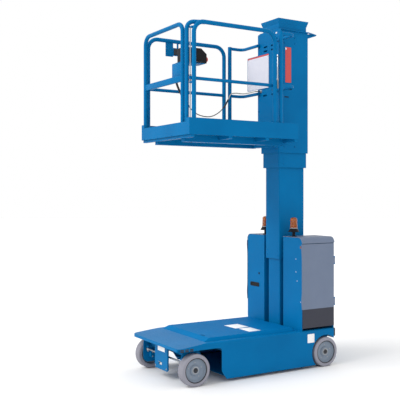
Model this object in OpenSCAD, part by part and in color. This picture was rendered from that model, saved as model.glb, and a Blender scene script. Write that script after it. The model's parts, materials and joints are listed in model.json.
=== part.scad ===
// Self-propelled vertical mast lift with a guard-railed platform, raised.
// +Z is up, the nose points along -Y and the entry side of the platform is +X.
// The origin lies on the floor, midway between the axles. Millimetres.

/* [Wheels] */
// Distance between the front and the rear axle
wheelbase = 1570; // [1540:5:1600]
// Width over the tyres
track_over_tyres = 985; // [975:1:995]
// Outside diameter of a tyre
tyre_d = 305; // [299:1:311]
// Width of a tyre
tyre_w = 90; // [84:1:94]
// Diameter of the rim that carries the tyre
rim_d = 236; // [224:1:244]
// Diameter of the stub axles
stub_d = 40; // [34:1:44]

/* [Steering] */
// Distance of a kingpin from the middle of its wheel
kingpin_offset = 102; // [100:1:106]
// Diameter of a kingpin
kingpin_d = 40; // [34:1:44]
// Distance from a kingpin to the tie rod's eye
steer_arm_len = 75; // [70:1:78]
// Width of the front axle beam
beam_w = 68; // [56:1:70]
// Height of the middle of the tie rod
tie_rod_z = 213; // [211:1:215]

/* [Chassis] */
// Distance of the side skirts inside the tyres' outer faces
skirt_inset = 10.5; // [5:0.5:15]
// Reach of the nose ahead of the front axle
nose_overhang = 185; // [177:1:200]
// Reach of the chassis behind the rear axle
rear_overhang = 115; // [105:1:130]
// Height of the deck
deck_z = 395; // [388:1:400]
// Height of the nose's upper front edge
nose_z = 364; // [356:1:370]
// Height of the front wheel arches
arch_z = 335; // [330:1:340]
// Height of the skirts' lower edge above the floor
skirt_z = 30; // [20:1:45]
// Height of the belly plate above the floor
belly_z = 60; // [54:1:70]
// Thickness of the chassis plates
plate_t = 6; // [4:0.5:8]
// Width of the skirts' tops beside the raised deck panel
panel_inset = 62; // [42:1:82]
// Height of the raised deck panel over the deck
panel_h = 30; // [16:1:32]

/* [Cabinets] */
// Height of the cabinets' top
cabinet_top = 1350; // [1320:5:1380]
// Distance of the cabinets' front face from the origin
cabinet_front = 473; // [470:1:480]
// Depth of the cabinets
cabinet_d = 423; // [410:1:426]
// Clear width between the cabinets
cabinet_gap = 340; // [336:1:346]
// Corner radius at the cabinets' upper outer edge
cabinet_r = 60; // [40:1:80]
// Thickness of the moulded side doors
door_t = 6; // [4:0.5:8]

/* [Mast] */
// Half width of the fixed inner stage
stage_half_w = 100; // [98:1:100]
// Distance of the fixed stage's front face from the origin
stage_front = 479; // [478:1:481]
// Wall thickness of the stages
stage_t = 7; // [5:0.5:8]
// Step of the stages' sides from one to the next
stage_step = 21.5; // [21.5:0.25:22]
// Height of the fixed stage's top
stage_1_top = 1700; // [1660:5:1730]
// Height of the middle stage's lower end
stage_2_bottom = 1104; // [1095:1:1115]
// Height of the middle stage's top
stage_2_top = 2680; // [2660:5:2700]
// Height of the upper stage's lower end
stage_3_bottom = 2077; // [2070:1:2090]
// Height of the upper stage's top
mast_top = 3655; // [3645:1:3670]
// Outside diameter of the lift cylinder
cylinder_d = 76; // [66:1:84]
// Diameter of the lift cylinder's rod
rod_d = 44; // [36:1:50]

/* [Platform] */
// Width of the platform
platform_w = 985; // [965:1:985]
// Distance of the platform's front edge from the origin
platform_front = 861; // [850:1:870]
// Height of the platform's floor
floor_z = 2370; // [2365:1:2380]
// Height of the guard rail's top above the floor
rail_h = 1065; // [1050:5:1085]
// Height of the mid rails above the floor
mid_rail_h = 515; // [500:5:530]
// Outside diameter of the guard rail tubes
rail_d = 42; // [38:1:44]
// Outside diameter of the rear corner rails
corner_rail_d = 34; // [30:1:36]
// Bend radius of the side rails
rail_bend = 110; // [90:1:130]
// Height of the toe boards over their lower edge
toe_h = 157; // [150:1:165]
// Thickness of the toe boards
toe_t = 4; // [3:0.5:6]
// Depth of the beams under the floor
under_beam_h = 70; // [60:1:74]

/* [Hidden] */
$fn = 48;
fit = 0.3;
running = 0.05;
wheel_r = tyre_d / 2;
front_y = -wheelbase / 2;
rear_y = wheelbase / 2;
wheel_x = (track_over_tyres - tyre_w) / 2;
tyre_in = wheel_x - tyre_w / 2;
kingpin_x = wheel_x - kingpin_offset;

nose_reach = wheelbase / 2 + nose_overhang;
rear_reach = wheelbase / 2 + rear_overhang;
half_w = track_over_tyres / 2 - skirt_inset;
arch_y = front_y + 290;
slope_y = front_y + 130;
arch_r = wheel_r + 25;
skirt_cut = 55;
corner_r = 18;
tub_x = tyre_in - 28;
tub_z = belly_z;
pack_z = tub_z + 40;
well_x = cabinet_gap / 2 - 3;
well_front = stage_front - 54;
well_rear = cabinet_front + 362;
panel_w = 2 * (half_w - panel_inset);
panel_edge = 40;
panel_slot_x = [225, 295];
panel_slot_y = panel_edge + 30;
panel_y0 = slope_y;
panel_y1 = well_front - 10;

boss_r = 36;
boss_z0 = 255;
boss_z1 = 345;
beam_z0 = 258;
beam_z1 = 325;
yoke_x = tyre_in - 14;
yoke_t = 8;
yoke_arm_z = 236;
motor_r = 44;
arm_eye_r = 16;
eye_pin_r = 8;
front_plate_y = -nose_reach + 75;
front_plate_w = 260;
front_plate_z = 80;

cabinet_rear = cabinet_front + cabinet_d;
cabinet_in = cabinet_gap / 2;
cabinet_out = track_over_tyres / 2;
sheet_t = 4;
door_x = cabinet_out - door_t;
cabinet_sheet_x = door_x - 2;
door_z0 = deck_z + 26;
door_z1 = cabinet_top - cabinet_r - 8;
band_z = door_z0 + 192;
hinge_x = cabinet_out - 9;
hinge_y = cabinet_rear + 9;
hinge_r = 8;
hinge_pin_r = 5;
hinge_zs = [band_z + 60, door_z1 - 180];
beacon_x = 250;
beacon_y = cabinet_front + 77;
beacon_z = cabinet_top + 47;

stage_rise = stage_step * 0.85;
stage_1_rear = stage_front + 293;
carriage_bottom = stage_3_bottom + 156;
carriage_top = mast_top - 122;
carriage_half = stage_half_w + 2 * stage_step + 15;
carriage_front = stage_front - 2 * stage_step - 16;
carriage_t = 6;
bracket_half = 207;
bracket_y = carriage_front - 6;
top_plate_t = 8;
plate_holes = [60, 925];
plate_hole_r = 5.5;
bracket_slot = [70, 18];
bracket_slot_z = [mast_top - 283, mast_top - 327];
low_slot_z = mast_top - 805;
top_plate_rear = nose_reach;
pad_h = 120;
lip_x = [58, 66, 74];
well_floor = belly_z + plate_t;
cylinder_y = stage_front + 130;
cylinder_top = stage_1_top - 200;
gland_h = 20;
piston_h = 30;
piston_z = stage_2_bottom + 96;
crosshead_z = stage_2_top - 40;

deck_under = floor_z - 5;
rail_r = rail_d / 2;
corner_r2 = corner_rail_d / 2;
rail_x = platform_w / 2 - toe_t - rail_r;
side_y0 = -platform_front + toe_t + rail_r + 39;
side_y1 = side_y0 + 937;
panel_rail_y = -platform_front + toe_t + rail_r;
front_rail_x = rail_x - 66;
rail_top = floor_z + rail_h - rail_r;
mid_z = floor_z + mid_rail_h;
platform_rear = bracket_y;
toe_z0 = floor_z - 19;
toe_z1 = toe_z0 + toe_h;
guide_x = rail_x - 42;
guide_r = 6;
guide_y0 = side_y0 - 16;
guide_y1 = side_y1 + 36;
collar_r = 11;
collar_h = 60;
entry_r = 16;
entry_travel = 420;
guide_top = mid_z + collar_h / 2 + entry_travel + 30;
floor_x = guide_x - guide_r - 10;
floor_y0 = panel_rail_y + rail_r + 10;
floor_y1 = platform_rear - 30;

box_x0 = 160;
box_x1 = box_x0 + 140;
box_y0 = panel_rail_y + rail_r + 12;
box_y1 = box_y0 + 250;
box_z0 = floor_z + 690;
box_z1 = box_z0 + 140;
knob_x = box_x0 + 70;
knob_z = box_z0 + 50;
board_x = [-platform_w / 2 + 92, 0];
board_z = [mid_z + 51, mid_z + 420];
marker_y = [stage_front + 30, stage_front + 107];
marker_z = [mid_z + 95, mid_z + 470];

cable_r = 6;
cable_points = [
    [140, -760, 3090], [133, -760, 3090], [126, -760, 3089], [108, -770, 3052], [100, -786, 2990], [102, -790, 2930],
    [90, -760, 2850], [60, -690, 2760], [10, -590, 2675], [-50, -480, 2620], [-120, -350, 2600],
    [-200, -200, 2610], [-280, -60, 2660], [-350, 60, 2735], [-400, 150, 2830], [-426, 205, 2900],
    [-430, 270, 2916], [-425, 340, 2914], [-390, 376, 2912], [-320, 384, 2912], [-240, 384, 2912],
    [-190, 385, 2912], [-160, 388, 2912], [-150, 396, 2912], [-150, 400, 2912], [-150, 404, 2912]
];
cable_start = cable_points[0];
cable_end = cable_points[len(cable_points) - 1];

BLUE = [0.06, 0.45, 0.70];
GREY = [0.47, 0.53, 0.60];
TYRE = [0.56, 0.56, 0.59];
STEEL = [0.70, 0.71, 0.73];
BLACK = [0.08, 0.08, 0.09];

// A box from its limits along each axis.
module span(x, y, z) translate([x[0], y[0], z[0]]) cube([x[1] - x[0], y[1] - y[0], z[1] - z[0]]);

// A side outline, drawn in Y and Z, carried along X.
module along_x(x0, x1) translate([x0, 0, 0]) rotate([90, 0, 90]) linear_extrude(x1 - x0) children();

// A front outline, drawn in X and Z, carried along Y.
module along_y(y0, y1) translate([0, y1, 0]) rotate([90, 0, 0]) linear_extrude(y1 - y0) children();

// The same piece on both sides of the machine.
module both_sides() {
    children();
    mirror([1, 0, 0]) children();
}

// A rectangle between two corners with rounded corners.
module rounded(p, q, r) {
    translate([p[0] + r, p[1]]) square([q[0] - p[0] - 2 * r, q[1] - p[1]]);
    translate([p[0], p[1] + r]) square([q[0] - p[0], q[1] - p[1] - 2 * r]);
    for (x = [p[0] + r, q[0] - r])
        for (y = [p[1] + r, q[1] - r])
            translate([x, y]) circle(r);
}

// A round bar between two points that lie on a line along X, Y or Z.
module bar_x(x0, x1, y, z, r) translate([x0, y, z]) rotate([0, 90, 0]) cylinder(h = x1 - x0, r = r);
module bar_y(x, y0, y1, z, r) translate([x, y1, z]) rotate([90, 0, 0]) cylinder(h = y1 - y0, r = r);
module bar_z(x, y, z0, z1, r) translate([x, y, z0]) cylinder(h = z1 - z0, r = r);

// A quarter bend of a tube, from +X towards +Y round the origin.
module bend(radius, r) rotate_extrude(angle = 90) translate([radius, 0]) circle(r);

// Height of the hood's underside over the front bay at a given Y.
function hood_under(y) = nose_z - plate_t
    + (deck_z - nose_z) * (y + nose_reach - plate_t) / (slope_y + nose_reach - plate_t);

module skirt_outline() {
    difference() {
        polygon([
            [-nose_reach, arch_z], [-nose_reach, nose_z], [slope_y, deck_z], [rear_reach, deck_z],
            [rear_reach, skirt_z], [arch_y + skirt_cut, skirt_z], [arch_y, skirt_z + 80], [arch_y, arch_z]
        ]);
        translate([rear_y, wheel_r]) circle(arch_r);
    }
    difference() {
        translate([arch_y - 30, arch_z - 30]) square(31);
        translate([arch_y - 30, arch_z - 30]) circle(30);
    }
}

module chassis_outer() {
    intersection() {
        along_x(-half_w, half_w) skirt_outline();
        along_y(-nose_reach - 1, rear_reach + 1)
            rounded([-half_w, skirt_z - 60], [half_w, deck_z], corner_r);
        translate([0, 0, skirt_z - 1]) linear_extrude(deck_z)
            rounded([-half_w, -nose_reach], [half_w, rear_reach + 60], 50);
    }
}

module chassis_frame() color(BLUE) {
    difference() {
        union() {
            chassis_outer();
            span([-tub_x, tub_x], [rear_y - arch_r - 20, rear_reach], [tub_z, deck_z - 20]);
        }
        along_x(-half_w + plate_t, half_w - plate_t) polygon([
            [-nose_reach + plate_t, -1], [-nose_reach + plate_t, nose_z - plate_t],
            [slope_y, deck_z - plate_t], [arch_y - plate_t, deck_z - plate_t], [arch_y - plate_t, -1]
        ]);
        span([-half_w + plate_t, half_w - plate_t], [arch_y, well_front - plate_t],
            [belly_z + plate_t, deck_z - plate_t]);
        span([-half_w + plate_t, half_w - plate_t], [arch_y - 1, rear_y - arch_r - 30], [-1, belly_z]);
        span([-panel_w / 2 + panel_edge, panel_w / 2 - panel_edge], [arch_y + panel_edge, panel_y1 - 60],
            [deck_z - 50, deck_z + 1]);
        span([-well_x, well_x], [well_front, well_rear], [well_floor, deck_z + 1]);
        both_sides() span([cabinet_in + 8, tub_x - plate_t],
            [cabinet_front + plate_t, cabinet_rear - plate_t], [pack_z, deck_z + 1]);
    }
}

module deck_panel() color(BLUE) {
    x = panel_w / 2;
    bevel = panel_h * 0.7;
    difference() {
        intersection() {
            along_x(-x, x) polygon([
                [panel_y0, deck_z], [panel_y1, deck_z],
                [panel_y1 - 6, deck_z + panel_h], [panel_y0 + 3 * bevel, deck_z + panel_h]
            ]);
            along_y(panel_y0 - 1, panel_y1 + 1) polygon([
                [-x, deck_z], [x, deck_z], [x - bevel, deck_z + panel_h], [-x + bevel, deck_z + panel_h]
            ]);
        }
        span([-x + panel_edge, x - panel_edge], [panel_y0 + panel_edge + 20, panel_y1 - 30],
            [deck_z - 1, deck_z + panel_h - 4]);
        translate([0, 0, deck_z]) linear_extrude(panel_h + 1)
            rounded([panel_slot_x[0], panel_y0 + panel_slot_y], [panel_slot_x[1], panel_y0 + panel_slot_y + 20], 9);
    }
}

module front_plate() color(BLUE) {
    x = front_plate_w / 2;
    y = front_plate_y;
    intersection() {
        difference() {
            union() {
                along_y(y, y + 8) rounded([-x, front_plate_z], [x, deck_z + 60], 12);
                for (side = [-1, 1])
                    span([side * x - (side > 0 ? 8 : 0), side * x + (side > 0 ? 0 : 8)],
                        [y + 4, y + 16], [front_plate_z + 12, deck_z]);
            }
            along_y(y - 1, y + 9) rounded([-50, front_plate_z + 42], [18, front_plate_z + 66], 11);
        }
        along_x(-x - 1, x + 1) polygon([
            [y - 1, 0], [y + 70, 0], [y + 70, hood_under(y + 70)], [y - 1, hood_under(y - 1)]
        ]);
    }
}

module front_axle() color(BLUE) {
    difference() {
        union() {
            span([-kingpin_x, kingpin_x], [front_y - beam_w / 2, front_y + beam_w / 2], [beam_z0, beam_z1]);
            both_sides() bar_z(kingpin_x, front_y, boss_z0, boss_z1, boss_r);
            both_sides() along_x(150, 166) polygon([
                [front_y - 60, beam_z1 - 20], [front_y + 60, beam_z1 - 20],
                [front_y + 60, hood_under(front_y + 60) - running], [front_y - 60, hood_under(front_y - 60) - running]
            ]);
        }
        both_sides() bar_z(kingpin_x, front_y, boss_z0 - 1, boss_z1 + 1, kingpin_d / 2 + running);
    }
}

// A nut with six flats at the end of a stub axle, from x0 to x1.
module axle_nut(x0, x1, y) translate([x0, y, wheel_r]) rotate([0, 90, 0]) cylinder(h = x1 - x0, r = 21, $fn = 6);

// The turned end of an axle that carries a wheel, starting at x0.
module stub(x0, y) {
    bar_x(x0, wheel_x + 31, y, wheel_r, stub_d / 2);
    axle_nut(wheel_x + 31, wheel_x + 40, y);
}

module rear_axle() color(BLUE) {
    both_sides() {
        along_x(tub_x, tub_x + 12) rounded([rear_y - 80, wheel_r - 40], [rear_y + 80, wheel_r + 100], 20);
        bar_x(tub_x + 12, tyre_in - 1, rear_y, wheel_r, 52);
        stub(tyre_in - 1, rear_y);
    }
}

module rear_bumpers() color(BLACK) {
    both_sides() along_y(rear_reach, rear_reach + 26)
        rounded([half_w - 118, arch_z - 35], [half_w - 10, deck_z - 8], 12);
}

// One C-shaped stage, open to the rear between its two lips.
module stage(half, front, rear, lip, z0, z1) {
    translate([0, 0, z0]) linear_extrude(z1 - z0) difference() {
        rounded([-half, front], [half, rear], 9);
        translate([-half + stage_t, front + stage_t]) square([2 * (half - stage_t), rear - front - 2 * stage_t]);
        translate([-lip, rear - stage_t - 1]) square([2 * lip, stage_t + 2]);
    }
}

// Slide pads that fill the gap outside a stage near its top.
module pads(half, front, rear, reach_x, reach_y, z0, z1) {
    for (side = [-1, 1])
        for (y = [front + 30, rear - 90])
            span([side > 0 ? half : -half - reach_x, side > 0 ? half + reach_x : -half], [y, y + 60], [z0, z1]);
    for (x = [-half + 20, half - 60])
        span([x, x + 40], [front - reach_y, front], [z0, z1]);
}

pad_x = stage_step - stage_t - fit;
pad_y = stage_step - stage_t - fit;

module mast_stage_1() color(BLUE) {
    stage(stage_half_w, stage_front, stage_1_rear, lip_x[0], well_floor, stage_1_top);
    pads(stage_half_w, stage_front, stage_1_rear, pad_x, pad_y, stage_1_top - pad_h, stage_1_top);
}

module mast_stage_2() color(BLUE) {
    half = stage_half_w + stage_step;
    front = stage_front - stage_step;
    rear = stage_1_rear + stage_rise;
    stage(half, front, rear, lip_x[1], stage_2_bottom, stage_2_top);
    pads(half, front, rear, pad_x, pad_y, stage_2_top - pad_h, stage_2_top);
    span([-half + stage_t, half - stage_t], [cylinder_y - 50, cylinder_y + 50], [crosshead_z, crosshead_z + 15]);
}

module mast_stage_3() color(BLUE) {
    half = stage_half_w + 2 * stage_step;
    front = stage_front - 2 * stage_step;
    rear = stage_1_rear + 2 * stage_rise;
    stage(half, front, rear, lip_x[2], stage_3_bottom, mast_top - 3);
    intersection() {
        along_y(front - 16, rear + 14) polygon([
            [-half - 16, mast_top], [half + 16, mast_top], [half + 14, mast_top - 12],
            [half, mast_top - 55], [-half, mast_top - 55], [-half - 14, mast_top - 12]
        ]);
        along_x(-half - 16, half + 16) polygon([
            [front - 16, mast_top], [rear + 14, mast_top], [rear + 12, mast_top - 12],
            [rear, mast_top - 55], [front, mast_top - 55], [front - 14, mast_top - 12]
        ]);
    }
}

// A slot through the bracket plate with its inner lower corner at x and z.
module bracket_cut(x, z) along_y(bracket_y - 1, carriage_front + carriage_t + 1)
    rounded([x, z], [x + bracket_slot[0], z + bracket_slot[1]], 8);

module carriage() color(BLUE) {
    half = carriage_half;
    rear = stage_1_rear + 2 * stage_rise + 6;
    clear_x = carriage_half - carriage_t - stage_half_w - 2 * stage_step;
    difference() {
        union() {
            translate([0, 0, carriage_bottom]) linear_extrude(carriage_top - carriage_bottom)
                rounded([-half, carriage_front], [half, rear + 40], 10);
            translate([0, 0, carriage_top]) linear_extrude(top_plate_t) polygon([
                [-half - 20, bracket_y], [half + 20, bracket_y], [half + 20, rear],
                [half - 40, top_plate_rear], [-half + 40, top_plate_rear], [-half - 20, rear]
            ]);
            along_y(bracket_y, carriage_front + 1)
                rounded([-bracket_half, floor_z - under_beam_h - 5], [bracket_half, carriage_top], 12);
        }
        span([-half + carriage_t, half - carriage_t], [carriage_front + carriage_t, rear + 60],
            [carriage_bottom - 1, carriage_top + top_plate_t + 1]);
        span([-half - 1, half + 1], [rear, rear + 60], [carriage_bottom - 1, carriage_top]);
        both_sides() {
            for (z = bracket_slot_z) bracket_cut(30, z);
            bracket_cut(42, low_slot_z);
            bar_z(plate_holes[0], plate_holes[1], carriage_top - 1, carriage_top + top_plate_t + 1, plate_hole_r);
        }
    }
    bar_y(cable_end[0], cable_end[1], bracket_y + 1, cable_end[2], 12);
    for (side = [-1, 1], z = [carriage_bottom + 40, carriage_top - 160])
        span([side > 0 ? half - carriage_t - clear_x + fit : -half + carriage_t,
              side > 0 ? half - carriage_t : -half + carriage_t + clear_x - fit],
            [stage_front, stage_front + 200], [z, z + 120]);
}

module lift_barrel() color(STEEL) {
    r = cylinder_d / 2;
    difference() {
        bar_z(0, cylinder_y, well_floor, cylinder_top, r);
        bar_z(0, cylinder_y, well_floor + 20, cylinder_top - gland_h, r - 8);
        bar_z(0, cylinder_y, cylinder_top - gland_h - 1, cylinder_top + 1, rod_d / 2 + running);
    }
}

module lift_rod() color(STEEL) {
    bar_z(0, cylinder_y, piston_z, crosshead_z, rod_d / 2);
    bar_z(0, cylinder_y, piston_z, piston_z + piston_h, cylinder_d / 2 - 8 - running);
}

// Half of a cabinet's front outline, square at the foot and rounded at the upper outer corner.
module cabinet_outline(out, top, r) {
    polygon([[cabinet_in, deck_z], [out, deck_z], [out, top - r], [out - r, top - r], [out - r, top], [cabinet_in, top]]);
    translate([out - r, top - r]) circle(r);
}

module cabinets() color(BLUE) {
    out = cabinet_sheet_x;
    top = cabinet_top - sheet_t;
    both_sides() {
        difference() {
            along_y(cabinet_front, cabinet_rear) cabinet_outline(out, top - fit, cabinet_r - sheet_t);
            span([cabinet_in + sheet_t, out + 1], [cabinet_front + sheet_t, cabinet_rear - sheet_t], [deck_z - 1, top + 1]);
        }
        for (z = hinge_zs) {
            for (dz = [-42, 30]) {
                bar_z(hinge_x, hinge_y, z + dz, z + dz + 12, hinge_r);
                span([hinge_x - 30, hinge_x], [cabinet_rear, hinge_y + 4], [z + dz, z + dz + 12]);
            }
            bar_z(hinge_x, hinge_y, z - 31, z + 31, hinge_pin_r);
        }
    }
}

module cabinet_caps() color(GREY) {
    both_sides() difference() {
        along_y(cabinet_front - 3, cabinet_rear + 3) cabinet_outline(cabinet_out, cabinet_top, cabinet_r);
        along_y(cabinet_front - 4, cabinet_rear + 4)
            cabinet_outline(cabinet_sheet_x + fit, cabinet_top - sheet_t, cabinet_r - sheet_t);
        span([0, cabinet_out + 1], [cabinet_front - 4, cabinet_rear + 4], [deck_z - 1, door_z1 + 5]);
        span([cabinet_in - 1, cabinet_in], [cabinet_front - 4, cabinet_rear + 4], [deck_z, cabinet_top + 1]);
    }
}

module power_packs() color(BLACK) {
    both_sides() span([cabinet_in + 16, tub_x - 14], [cabinet_front + 22, cabinet_rear - 22], [pack_z, deck_z + 300]);
}

module beacon_bases() color(BLACK) {
    both_sides() translate([beacon_x, beacon_y, 0]) {
        translate([0, 0, beacon_z]) rotate_extrude()
            polygon([[0, 0], [57, 0], [57, 6], [42, 30], [40, 38], [0, 38]]);
        bar_z(0, 0, cabinet_top, beacon_z + 1, 16);
        translate([0, 0, cabinet_top]) cylinder(h = 5, r = 34);
    }
}

module beacon_lenses() color([0.80, 0.45, 0.15]) {
    both_sides() translate([beacon_x, beacon_y, beacon_z + 38]) rotate_extrude()
        polygon([[0, 0], [39, 0], [39, 8], [36, 90], [30, 106], [18, 114], [0, 116]]);
}

// A steered wheel carrier on the right side, with its kingpin, guard plate, motor and steering arm.
module knuckle() {
    bar_z(kingpin_x, front_y, yoke_arm_z, boss_z1 + 4, kingpin_d / 2);
    bar_z(kingpin_x, front_y, boss_z1 + fit, boss_z1 + 10, kingpin_d / 2 + 8);
    bar_z(kingpin_x, front_y, yoke_arm_z, boss_z0 - fit, boss_r);
    span([kingpin_x, yoke_x + 1], [front_y - 30, front_y + 30], [yoke_arm_z, boss_z0 - fit]);
    along_x(yoke_x, yoke_x + yoke_t) rounded([front_y - 105, 75], [front_y + 105, arch_z - 12], 55);
    bar_x(yoke_x - 42, yoke_x + 1, front_y, wheel_r, motor_r);
    bar_x(yoke_x + yoke_t - 1, tyre_in - 1, front_y, wheel_r, 50);
    stub(tyre_in - 2, front_y);
    span([kingpin_x - 14, kingpin_x + 14], [front_y - steer_arm_len, front_y], [yoke_arm_z, yoke_arm_z + 12]);
    bar_z(kingpin_x, front_y - steer_arm_len, yoke_arm_z, yoke_arm_z + 12, arm_eye_r);
    bar_z(kingpin_x, front_y - steer_arm_len, tie_rod_z - 14, yoke_arm_z + 1, eye_pin_r);
}

module knuckle_right() color(BLUE) knuckle();
module knuckle_left() color(BLUE) mirror([1, 0, 0]) knuckle();

module tie_rod() color(STEEL) {
    y = front_y - steer_arm_len;
    difference() {
        union() {
            bar_x(-kingpin_x, kingpin_x, y, tie_rod_z, 9);
            both_sides() bar_z(kingpin_x, y, tie_rod_z - 11, tie_rod_z + 11, arm_eye_r);
        }
        bar_z(-kingpin_x, y, tie_rod_z - 30, tie_rod_z + 30, eye_pin_r + running);
        bar_z(kingpin_x, y, tie_rod_z - 30, tie_rod_z + 30, eye_pin_r + 1);
    }
}

// A solid tyre with rounded shoulders.
module tyre(side, y) color(TYRE) {
    r = wheel_r;
    w = tyre_w / 2;
    translate([side * wheel_x, y, wheel_r]) rotate([0, 90, 0]) rotate_extrude($fn = 96) intersection() {
        rounded([rim_d / 2 - 30, -w], [r, w], 14);
        translate([rim_d / 2, -w]) square([r, 2 * w]);
    }
}

// A pressed rim with a raised seat, a dished disc and a hub.
module rim(side, y) color(GREY) {
    r = rim_d / 2 - running;
    translate([side * wheel_x, y, wheel_r]) rotate([0, side * 90, 0]) rotate_extrude($fn = 96) polygon([
        [stub_d / 2 + running, -43], [48, -43], [48, -8], [r - 12, -8], [r - 8, -38], [r, -38],
        [r, 38], [r - 9, 38], [r - 14, 24], [r - 24, 18], [52, 14], [46, 26], [30, 30], [stub_d / 2 + running, 30]
    ]);
}

module platform_frame() color(BLUE) {
    z0 = deck_under - under_beam_h;
    y0 = -platform_front + toe_t + 14;
    xs = platform_w / 2 - toe_t - fit;
    for (x = [-300, 240]) span([x, x + 60], [y0 + 40, platform_rear - fit], [z0, deck_under]);
    span([-bracket_half, bracket_half], [platform_rear - 60, platform_rear - fit], [z0, deck_under]);
    for (y = [y0, -420, platform_rear - 60 - 340])
        span([-xs, xs], [y, y + 40], [deck_under - 40, deck_under]);
    span([-xs, xs], [platform_rear - 41, platform_rear - fit], [deck_under - 40, deck_under]);
    difference() {
        span([-xs, xs], [-platform_front + toe_t + fit, platform_rear - fit], [deck_under - 3, floor_z]);
        span([-floor_x, floor_x], [floor_y0, floor_y1], [deck_under, floor_z + 1]);
        span([-floor_x + 60, floor_x - 60], [floor_y0 + 60, floor_y1 - 60], [deck_under - 4, floor_z]);
    }
}

module platform_floor() color(GREY)
    span([-floor_x + fit, floor_x - fit], [floor_y0 + fit, floor_y1 - fit], [deck_under, floor_z]);

module toe_boards() color(BLUE) {
    x = platform_w / 2;
    y0 = -platform_front;
    difference() {
        span([-x, x], [y0, platform_rear + toe_t], [toe_z0, toe_z1]);
        span([-x + toe_t, x - toe_t], [y0 + toe_t, platform_rear], [toe_z0 - 1, toe_z1 + 1]);
        span([-bracket_half - 1, bracket_half + 1], [platform_rear - 1, platform_rear + toe_t + 1],
            [toe_z0 - 1, toe_z1 + 1]);
        span([-x + 60, x - 60], [y0 - 1, y0 + toe_t + 1], [toe_z1 - 35, toe_z1 + 1]);
    }
}

// A hoop of bent tube in a plane along Y: two posts and a top rail at X = x.
module hoop(x, y0, y1, z0, z1, radius, r) {
    bar_z(x, y0, z0, z1 - radius, r);
    bar_z(x, y1, z0, z1 - radius, r);
    bar_y(x, y0 + radius, y1 - radius, z1, r);
    translate([x, y0 + radius, z1 - radius]) rotate([0, 0, -90]) rotate([90, 0, 0]) bend(radius, r);
    translate([x, y1 - radius, z1 - radius]) rotate([0, 0, 90]) rotate([90, 0, 0]) bend(radius, r);
}

module side_rails() color(BLUE) {
    both_sides() hoop(rail_x, side_y0, side_y1, floor_z, rail_top, rail_bend, rail_r);
    bar_y(-rail_x, side_y0, side_y1, mid_z, corner_r2);
    for (y = [guide_y0, guide_y1])
        for (z = [mid_z - collar_h / 2 - 20 - fit, guide_top - 14])
            difference() {
                span([guide_x - 10.5, rail_x], [min(y, y < 0 ? side_y0 : side_y1) - 6,
                    max(y, y < 0 ? side_y0 : side_y1) + 6], [z, z + 14]);
                bar_z(guide_x, y, z - 1, z + 15, guide_r + running);
            }
}

module guide_rods() color(STEEL) {
    for (y = [guide_y0, guide_y1]) bar_z(guide_x, y, floor_z, guide_top, guide_r);
}

module entry_rail() color(BLUE) {
    difference() {
        union() {
            bar_y(guide_x, guide_y0, guide_y1, mid_z, entry_r);
            for (y = [guide_y0, guide_y1])
                bar_z(guide_x, y, mid_z - collar_h / 2, mid_z + collar_h / 2, collar_r);
        }
        for (y = [guide_y0, guide_y1])
            bar_z(guide_x, y, mid_z - collar_h, mid_z + collar_h, guide_r + running);
    }
}

module front_rail() color(BLUE) {
    x = front_rail_x;
    y = panel_rail_y;
    radius = rail_bend * 0.8;
    for (side = [-1, 1]) bar_z(side * x, y, floor_z, rail_top - radius, rail_r);
    bar_x(-x + radius, x - radius, y, rail_top, rail_r);
    translate([x - radius, y, rail_top - radius]) rotate([90, 0, 0]) bend(radius, rail_r);
    translate([-x + radius, y, rail_top - radius]) mirror([1, 0, 0]) rotate([90, 0, 0]) bend(radius, rail_r);
    span([-x, x], [y - 12, y + 12], [mid_z - 40, mid_z + 42]);
}

// One rear corner rail at height z, from its post round the corner to the carriage.
module corner_rail(z) {
    y = platform_rear - corner_r2 - 8;
    r = 60;
    bar_y(rail_x, side_y1 + 76, y - r, z, corner_r2);
    translate([rail_x - r, y - r, z]) bend(r, corner_r2);
    bar_x(bracket_half - 30, rail_x - r, y, z, corner_r2);
}

module rear_rails() color(BLUE) {
    both_sides() {
        corner_rail(rail_top - 4);
        corner_rail(mid_z);
        bar_z(rail_x, side_y1 + 76, floor_z, rail_top - 4 + corner_r2, rail_r);
        for (z = [rail_top - 4, mid_z])
            span([bracket_half - 40, bracket_half - 20], [platform_rear - corner_r2 - 8, platform_rear - fit],
                [z - 16, z + 16]);
    }
}

module control_bracket() color(BLUE) {
    y = panel_rail_y + rail_r;
    span([box_x0 + 20, box_x1 + 40], [y + fit, y + 6], [box_z0 - 60, rail_top + 20]);
    span([box_x0 + 20, box_x1 - 20], [y + fit, box_y1 - 20], [box_z0 - 6, box_z0 - fit]);
}

module control_box() color(BLACK) {
    along_x(box_x0, box_x1) polygon([
        [box_y0, box_z0], [box_y1, box_z0], [box_y1, box_z1 - 50], [box_y1 - 60, box_z1], [box_y0, box_z1]
    ]);
    bar_x(cable_start[0], box_x0 + 1, cable_start[1], cable_start[2], 12);
    translate([box_x0 + 60, box_y0 + 60, box_z1 - 1]) {
        cylinder(h = 20, r1 = 30, r2 = 14);
        cylinder(h = 80, r = 8);
        translate([0, 0, 76]) cylinder(h = 50, r = 16);
    }
}

module stop_knob() color([0.80, 0.20, 0.18]) {
    bar_y(knob_x, box_y1, box_y1 + 22, knob_z, 11);
    bar_y(knob_x, box_y1 + 20, box_y1 + 36, knob_z, 20);
}

module notice_board() color([0.80, 0.80, 0.84]) {
    along_y(platform_rear - 4, platform_rear - fit)
        rounded([board_x[0], board_z[0]], [board_x[1], board_z[1]], 12);
}

module marker_strip() color([0.80, 0.30, 0.30]) {
    along_x(carriage_half + running, carriage_half + 2)
        rounded([marker_y[0], marker_z[0]], [marker_y[1], marker_z[1]], 5);
}

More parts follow.
